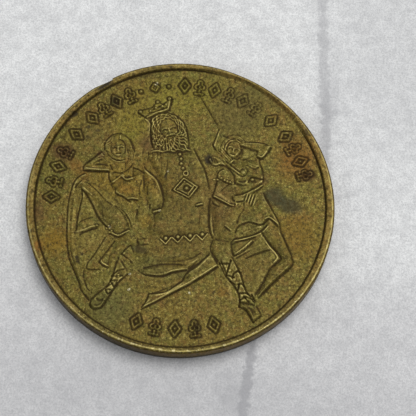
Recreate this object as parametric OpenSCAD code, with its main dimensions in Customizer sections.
// Struck brass token: a round blank with a raised rim and low relief on both faces.
// It lies on its reverse, with the obverse facing +Z and the top of its picture towards +Y.

/* [Blank] */
// Diameter over the rim
token_d = 38; // [34:0.5:42]
// Thickness over both rims
token_t = 2.6; // [2.2:0.1:3.2]
// Radius of the worn corner where a face meets the edge
edge_r = 0.28; // [0.1:0.02:0.34]
// Width of the raised rim
rim_w = 1.05; // [0.8:0.05:1.3]
// Height of the rim over the field
rim_h = 0.34; // [0.3:0.02:0.4]
// Width of the groove that the collar die leaves at the foot of the rim
groove_w = 0.2; // [0.1:0.05:0.3]
// Depth of that groove below the field
groove_d = 0.05; // [0.02:0.01:0.1]

/* [Relief] */
// Height of gowns and robe over the field
cloth_h = 0.1; // [0.06:0.01:0.12]
// Height of limbs, folds and trim over the field
limb_h = 0.16; // [0.14:0.01:0.18]
// Height of heads and crown over the field
head_h = 0.22; // [0.2:0.01:0.24]
// Height of hair, beads and faces over the field
bead_h = 0.27; // [0.25:0.01:0.28]
// Width of a raised line
line_w = 0.26; // [0.2:0.02:0.34]
// Radius of a bead
bead_r = 0.2; // [0.15:0.01:0.25]

/* [Ornament ring] */
// Radius of the circle through the middle of the ornaments
ring_r = 15.9; // [15.7:0.05:16]
// Height of one ornament
motif_h = 1.9; // [1.6:0.1:2]
// Width of one ornament
motif_w = 1.25; // [1:0.05:1.4]
// Number of ornaments round the reverse
reverse_count = 36; // [24:2:40]

/* [Hidden] */
$fn = 96;
brass = [0.45, 0.41, 0.2];

design_d = 38;                      // diameter that the relief outlines are drawn for
s = token_d / design_d;             // scale of the relief in the plane of the face
field_z = token_t - rim_h;          // level of the obverse field
field_r = token_d / 2 - rim_w;      // radius of the field, out to the foot of the rim
root = 0.3;                         // how far a raised shape reaches down into the blank
rim_slope = 0.12;                   // width of the slope that rises from the foot of the rim
rim_round = 0.2;                    // width of the softened inner corner of the rim
rim_drop = 0.06;                    // height of that corner

// Groups of ornaments on the obverse: angle of the first, step to the next, count.
upper_groups = [
    [182, -7.3, 4], [149.7, 0, 1], [139, -6.8, 4], [93, -6.9, 6], [49.4, 0, 1], [39.2, -6.8, 4]];
lower_group = [255.3, 8.5, 5];
top_stop = 106.6;                   // angle of the open lozenge between two pellets
top_stop_step = 6.5;                // angle from that lozenge to each pellet

// ---- curves ----

// Point at t, from 0 to 1, on a smooth curve from b to c, with neighbours a and d
function between(a, b, c, d, t) =
    b + (c - a) * t / 2 + (2 * a - 5 * b + 4 * c - d) * t * t / 2 + (3 * b - a - 3 * c + d) * t * t * t / 2;

// Smooth open curve through the points p, with n steps from each point to the next
function curve(p, n = 4) = let (last = len(p) - 1) [
    for (i = [0 : last - 1], j = [0 : n - 1])
        between(p[max(i - 1, 0)], p[i], p[i + 1], p[min(i + 2, last)], j / n),
    p[last]];

// Smooth closed curve through the points p
function loop(p, n = 3) = let (m = len(p)) [
    for (i = [0 : m - 1], j = [0 : n - 1])
        between(p[(i + m - 1) % m], p[i], p[(i + 1) % m], p[(i + 2) % m], j / n)];

function unit(v) = v / norm(v);

// Unit vector across the path p at its point i
function across(p, i) =
    let (along = unit(p[min(i + 1, len(p) - 1)] - p[max(i - 1, 0)])) [-along[1], along[0]];

// Outline of a line of width w that follows the path p
function ribbon(p, w) = let (last = len(p) - 1) concat(
    [for (i = [0 : last]) p[i] + across(p, i) * w / 2],
    [for (i = [last : -1 : 0]) p[i] - across(p, i) * w / 2]);

// ---- building blocks ----

// Raises a flat shape over the obverse field
module raise(h) {
    translate([0, 0, field_z - root]) linear_extrude(root + h) children();
}

// A raised area inside a smooth outline
module mass(h, outline) {
    raise(h) polygon(s * loop(outline));
}

// A raised area with straight sides
module plate(h, outline) {
    raise(h) polygon(s * outline);
}

// A raised line along a smooth path
module line(h, path, w = line_w) {
    raise(h) polygon(s * ribbon(curve(path), w));
}

// A raised round bead
module bead(h, at, r = bead_r) {
    raise(h) translate(s * at) circle(s * r);
}

// Places an ornament on the ring, with its foot towards the centre, or away from it when it is turned
module on_ring(angle, turned = false) {
    rotate(angle - 90) translate([0, s * ring_r]) rotate(turned ? 180 : 0) children();
}

// An open lozenge with a pellet in it
module lozenge_motif(h = motif_h, w = motif_w, edge = 0.24) {
    outer = [[w / 2, 0], [0, h / 2], [-w / 2, 0], [0, -h / 2]];
    inner = [for (p = outer) p * (1 - 2.3 * edge / w)];
    polygon(s * concat(outer, inner), paths = [[0, 1, 2, 3], [4, 5, 6, 7]]);
    circle(s * 0.17);
}

// Three round lobes on a stem
module trefoil_motif(h = motif_h, w = motif_w) {
    lobe = w * 0.29;
    translate(s * [0, h / 2 - lobe]) circle(s * lobe);
    for (side = [-1, 1]) translate(s * [side * (w / 2 - lobe), h * 0.02]) circle(s * lobe);
    stem = 0.14;
    foot = 0.34;
    polygon(s * [
        [-stem, h * 0.3], [stem, h * 0.3], [stem, -h * 0.3],
        [foot, -h / 2], [-foot, -h / 2], [-stem, -h * 0.3]]);
}

module motif(i) {
    if (i % 2 == 0) lozenge_motif();
    else trefoil_motif();
}

// ---- the blank ----

// Half profile of the blank with both rims, from the axis out
module blank() {
    r = token_d / 2;
    shoulder = field_r + rim_slope;
    half = [
        [0, field_z], [field_r - groove_w, field_z], [field_r - groove_w / 2, field_z - groove_d],
        [field_r, field_z], [shoulder, token_t - rim_drop], [shoulder + rim_round, token_t]];
    corner = [for (a = [90 : -15 : 0]) [r - edge_r + edge_r * cos(a), token_t - edge_r + edge_r * sin(a)]];
    upper = concat(half, corner);
    lower = [for (i = [len(upper) - 1 : -1 : 0]) [upper[i][0], token_t - upper[i][1]]];
    rotate_extrude() polygon(concat(upper, lower));
}

// ---- the obverse ----

module obverse_ring() {
    raise(limb_h) {
        for (g = upper_groups, i = [0 : g[2] - 1]) on_ring(g[0] + g[1] * i) motif(i);
        for (i = [0 : lower_group[2] - 1]) on_ring(lower_group[0] + lower_group[1] * i, true) motif(i);
        on_ring(top_stop) lozenge_motif(1, 0.95, 0.2);
        for (side = [-1, 1]) on_ring(top_stop + side * top_stop_step) circle(s * 0.22);
    }
}

// A calm, plain face of the given height: the eyes halfway up, the nose halfway below them, then the mouth
module face(at, size, tilt) {
    raise(bead_h) translate(s * at) rotate(tilt) {
        for (side = [-1, 1]) translate(s * size * [side * 0.17, 0]) circle(s * size * 0.055);
        polygon(s * size * [[0, 0.04], [0.07, -0.18], [-0.07, -0.18]]);
        translate(s * size * [0, -0.3]) square(s * size * [0.24, 0.055], center = true);
    }
}

module king() {
    mass(cloth_h, [
        [-3.9, 6.4], [-1.5, 6.9], [1.1, 7.3], [2.5, 5], [3.2, 3], [3.55, 0], [3.7, -2.4], [4.4, -4.3],
        [4.1, -6], [2.4, -7.9], [0.2, -8.6], [-2, -9.35], [-4, -9.1], [-4.5, -7.3], [-3.9, -4],
        [-3.8, -1], [-2.6, 0], [-2.5, 1.6], [-3.3, 3.2], [-5, 4.6], [-5, 5.8]]);
    plate(limb_h, [[5.2, -7.5], [3, -9], [0, -11.2], [-3.5, -13.8], [-2.8, -11.9], [-0.9, -11.5],
        [0.7, -10.2], [1.6, -8.7], [3.6, -6.5]]);
    // head, hair and beard in one rounded mass, tipped to the left
    mass(head_h, [[-4.6, 10.8], [-3.4, 11.9], [-1.6, 11.6], [-0.3, 10.4], [0.1, 8.8], [0.2, 7.5],
        [-1.2, 7], [-2.7, 6.9], [-4, 7], [-4.4, 8.8]]);
    face([-2.1, 9.5], 2.6, 15);
    for (k = [0 : 3]) translate(s * [0.95 * k, 0]) line(bead_h, [[-3.7, 8], [-3.55, 7.5], [-3.65, 7.05]], 0.24);
    // crown with three points and beads
    plate(head_h, [[-5.6, 11.2], [-2.5, 12.5], [-2.4, 14.1], [-3.3, 13.1], [-4.1, 13.7], [-4.5, 12.6],
        [-6.3, 12], [-5.9, 11.5]]);
    for (p = [[-2.5, 14], [-4.1, 13.6], [-6.1, 11.9]]) bead(bead_h, p, 0.24);
    line(bead_h, [[-5.4, 11.35], [-4, 12], [-2.6, 12.45]], 0.22);
    // chain and pendant
    for (p = [[-0.65, 6.5], [-0.5, 5.8], [-0.3, 5.1], [-0.1, 4.4]]) bead(limb_h, p, 0.17);
    raise(limb_h) translate(s * [0.55, 2.05]) rotate(-28) {
        lozenge_motif(3.3, 3, 0.3);
        circle(s * 0.5);
    }
    // scalloped trim with beads
    for (k = [0 : 3]) {
        x = -1.45 + 1.5 * k;
        y = -5.35 + 0.3 * k;
        line(limb_h, [[x - 0.75, y + 0.75], [x, y], [x + 0.75, y + 0.95]], 0.22);
        bead(limb_h, [x, y + 0.75]);
    }
    line(limb_h, [[-3.9, -8.7], [-1.9, -8.6], [0.4, -7.9], [2.4, -7], [3.2, -6.2]]);
}

module left_lady() {
    mass(cloth_h, [
        [-6.2, 4.3], [-9.2, 3.4], [-12.4, 3.1], [-13.7, 1], [-13.9, -2], [-13.6, -5], [-12.8, -8.4],
        [-11.3, -11.6], [-10, -13.2], [-8.6, -12], [-7.6, -10], [-6.6, -7.4], [-5, -8.1], [-4.9, -6],
        [-3.5, -5.9], [-3.9, -3.4], [-3.6, -1.4], [-2.3, -0.9], [-2.2, 0.8], [-3.1, 3], [-4.8, 4.4]]);
    // raised arm
    mass(limb_h, [[-12.4, 3.4], [-12.3, 4.1], [-11.2, 5.1], [-10.5, 6], [-9.9, 5.6], [-9.3, 4.6],
        [-9.1, 3.5]]);
    // hair and head
    mass(limb_h, [[-10, 6], [-10, 7.6], [-8.8, 8.5], [-7.4, 8.1], [-6.5, 6.8], [-6.3, 4.6], [-7.4, 3.7],
        [-8.6, 3.7], [-9.4, 4.9]]);
    mass(head_h, [
        [-9.8, 6.5], [-9.5, 7.5], [-8.5, 8], [-7.6, 7.5], [-7.3, 6.4], [-7.7, 5.3], [-8.5, 4.9], [-9.4, 5.4]]);
    face([-8.6, 6.6], 2.4, 15);
    // bodice, neckline and gathered waist
    line(limb_h, [[-9.1, 2.9], [-9, 2.2], [-8.5, 1.9], [-7.6, 2.9], [-6.7, 2.5], [-6, 2.7]]);
    line(limb_h, [[-8.1, 1], [-7.9, 0.3], [-6.6, -0.2], [-5.4, 0.2]]);
    line(limb_h, [[-6.1, 4.2], [-4.9, 3.6], [-3.5, 2.7], [-3.3, 1.8]]);
    // folds of the gown
    line(limb_h, [[-12.3, 0.7], [-11.2, -0.3], [-10, -2.3], [-8.9, -4]]);
    line(limb_h, [[-12.3, 0.5], [-12.3, -1.6], [-12.5, -4.6]]);
    line(limb_h, [[-12.4, -4.8], [-11, -4.3], [-9.8, -3.8]]);
    line(limb_h, [[-8.8, -4.2], [-7.6, -4.9], [-7, -4.7], [-6.1, -4]]);
    line(limb_h, [[-8.1, -1.1], [-7, -1.8], [-6.2, -2.9], [-5.9, -3.8]]);
    line(limb_h, [[-12.8, 1.9], [-13.1, -1], [-12.8, -5], [-12.1, -8.4]]);
    // legs and laced boot
    plate(limb_h, [[-8.9, -5.1], [-10.7, -8.6], [-10.7, -9.4], [-9, -9.4], [-8.1, -9.1], [-9.1, -8.3],
        [-7.7, -5.6]]);
    plate(limb_h, [[-6.9, -7.7], [-7.5, -9.5], [-7.7, -10.6], [-8.3, -11.7], [-9.9, -13.5], [-9.3, -14.3],
        [-8.4, -14], [-7.2, -11.8], [-5.8, -9.3]]);
    for (k = [0 : 2]) line(head_h, [[-7.9 - 0.45 * k, -10.3 - 0.95 * k],
        [-6.9 - 0.45 * k, -11.2 - 0.95 * k]], 0.2);
}

module right_lady() {
    mass(cloth_h, [
        [4.1, 3.2], [4.9, 5.3], [7.3, 5.6], [9.4, 6.5], [10, 4.4], [10.2, 2], [11.5, -0.3], [12.3, -2],
        [13.3, -4.3], [14.3, -6.6], [12.2, -9], [10, -11.8], [8.8, -10.6], [7.4, -8], [5.9, -7.9],
        [4, -5.4], [4.3, -4.2], [3.75, -2.4], [3.6, 0.4]]);
    // raised arm
    plate(limb_h, [[6.7, 8.7], [10.6, 8.8], [9.7, 6.9], [8.9, 7.1], [9, 7.7], [6.9, 8.2]]);
    // pointed headdress with its veil
    plate(limb_h, [[3.8, 10.4], [3.3, 8.2], [3.9, 7.2], [5.6, 5.8], [6.2, 6.6], [6.6, 8.8], [5.4, 9.3]]);
    mass(head_h, [[4.9, 7.8], [5.3, 8.7], [6.2, 8.8], [6.8, 8.1], [6.9, 7.2], [6.4, 6.5], [5.5, 6.7]]);
    face([6, 7.75], 2, -10);
    // braid over the shoulder, and its curl
    line(head_h, [[5.6, 5.7], [6.5, 4.9], [7.1, 4.5], [7.8, 5]], 0.5);
    // sleeve, bodice and folded hands
    mass(limb_h, [[4.2, 4.2], [4.7, 5.2], [5.6, 5.1], [6.2, 4.2], [6.3, 3.3], [5.2, 3.3], [4.3, 3.4]]);
    mass(limb_h, [[2.9, 6.4], [3.1, 5.5], [3.9, 5.3], [5, 5.6], [4.4, 6.4], [3.6, 6.9]]);
    line(limb_h, [[6.5, 3.4], [7.7, 3.4], [8.5, 4.2], [9.6, 4.1]]);
    line(limb_h, [[3.9, 1.2], [5.2, 0.7], [6.7, 0.3]], 0.36);
    line(limb_h, [[9.7, 3.4], [8.6, 2.5], [7.6, 1.8], [6.5, 1.4]], 0.36);
    for (k = [0 : 3]) line(head_h, [[7.6 + 0.42 * k, 1.9 + 0.05 * k], [7.3 + 0.5 * k, 1.1 - 0.06 * k]], 0.2);
    // folds and turned-up hem of the gown
    plate(limb_h, [
        [6.5, -4.7], [7, -3.9], [9.4, -3.2], [10.8, -1.2], [12.2, -1.9], [11.9, -2.5], [11, -2.2],
        [10.1, -3.2], [12.7, -6.2], [11.2, -8.2], [10, -10.9], [9.6, -10.6], [10.9, -7.8], [12.1, -6.2],
        [9.8, -3.8], [7.2, -4.5], [7.2, -6.2], [6.9, -6.2]]);
    line(limb_h, [[7.1, -3.1], [7.4, -2.1], [8.4, -1.7], [9.9, -1.9]]);
    line(limb_h, [[7.1, -6], [8.3, -5.1], [9.3, -4.2]]);
    line(limb_h, [[8.6, -6.3], [10, -5.5], [11.2, -5.1]]);
    // laced boot
    plate(limb_h, [[4.5, -6.1], [6.3, -8.9], [7.6, -10.4], [8.1, -12.5], [9.1, -13.2], [9.9, -14.4],
        [10.9, -13.3],
        [9.9, -12.1], [8.6, -10.2], [7.6, -7.9], [6.9, -6.4]]);
    for (k = [0 : 3]) line(head_h, [[5.9 + 0.6 * k, -7.6 - 1.05 * k], [7.4 + 0.5 * k, -8 - 1.1 * k]], 0.2);
}

module obverse() {
    obverse_ring();
    king();
    left_lady();
    right_lady();
}

// ---- the reverse ----

// A plain shield with a chevron and trefoils, inside a ring of the same ornaments
module reverse() {
    chevron = [[0, 3.9], [4.7, -0.8], [3.7, -1.8], [0, 1.9], [-3.7, -1.8], [-4.7, -0.8]];
    shield = [[-7, 8.5], [-7, 1], [-5.6, -4], [-2.8, -7.6], [0, -9.6], [2.8, -7.6], [5.6, -4], [7, 1],
        [7, 8.5]];
    raise(limb_h) {
        for (i = [0 : reverse_count - 1]) on_ring(90 + i * 360 / reverse_count) motif(i);
        difference() {
            polygon(s * shield);
            polygon(s * [for (p = shield) p * 0.93]);
        }
        polygon(s * chevron);
        for (x = [-3.4, 0, 3.4]) translate(s * [x, 5.6]) trefoil_motif(2.6, 2);
        translate(s * [0, -4.6]) trefoil_motif(3.4, 2.6);
    }
}

module token() color(brass) {
    blank();
    obverse();
    translate([0, 0, token_t]) rotate([180, 0, 0]) reverse();
}

token();
